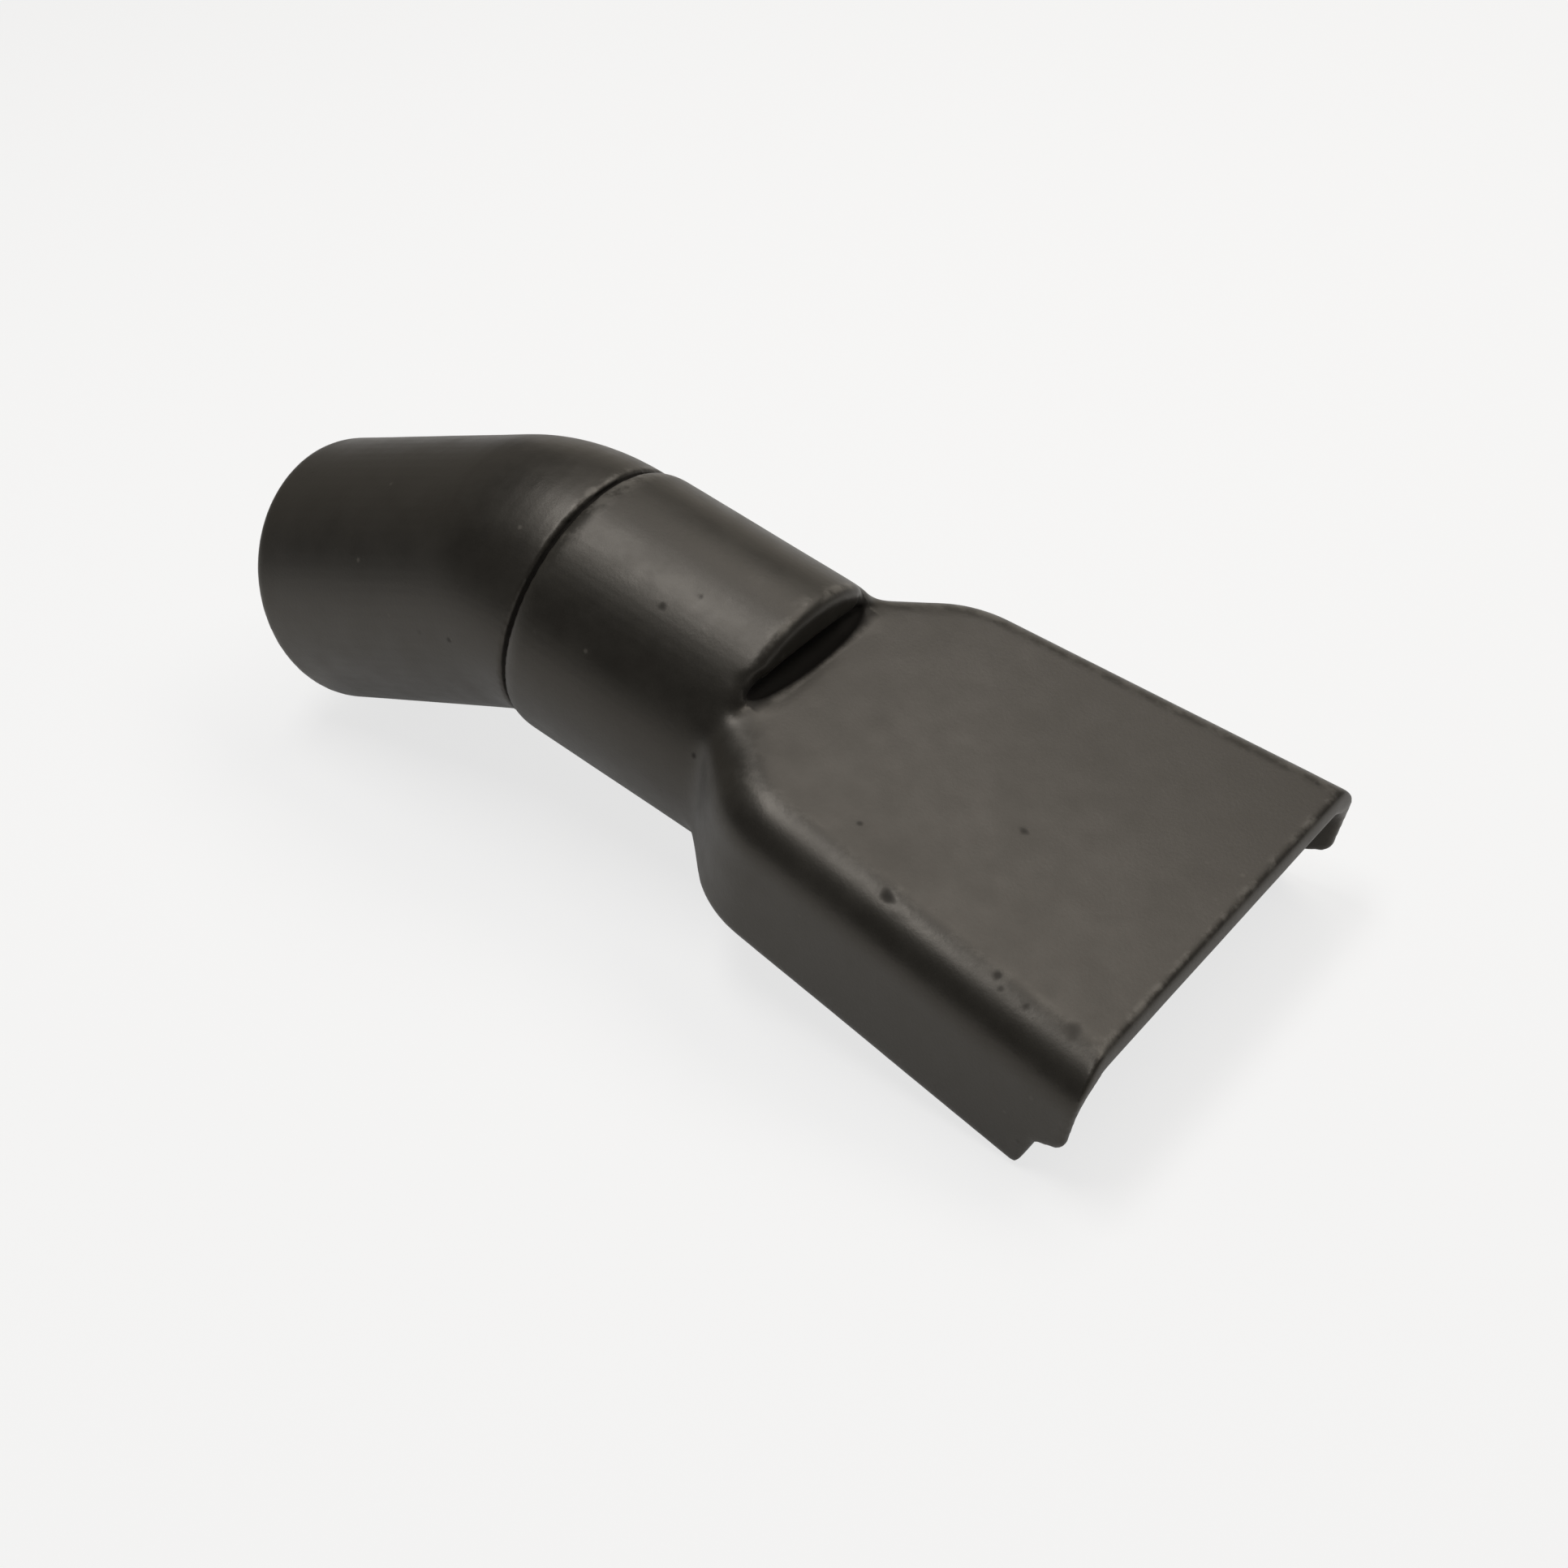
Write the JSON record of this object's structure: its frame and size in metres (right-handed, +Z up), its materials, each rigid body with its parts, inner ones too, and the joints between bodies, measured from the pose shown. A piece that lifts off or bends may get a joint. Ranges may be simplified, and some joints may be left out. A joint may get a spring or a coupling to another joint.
{
  "type": "rubber vacuum nozzle",
  "caption": "Flat wide-mouthed rubber suction nozzle on a round neck, with a bent rubber tube pushed into the neck as the hose end.",
  "frame": {"origin": "middle of the footprint, on the plane that the nozzle stands on", "axes": "+X along the nozzle towards the mouth, +Y to its left seen from behind, +Z up as it rests with the flat plate upwards"},
  "size_m": [0.17, 0.0752, 0.0557],
  "materials": {
    "head_rubber": "satin",
    "tube_rubber": "satin"
  },
  "bodies": {
    "root": {"nozzle_head": "head_rubber", "bent_tube": "tube_rubber"}
  },
  "joints": []
}
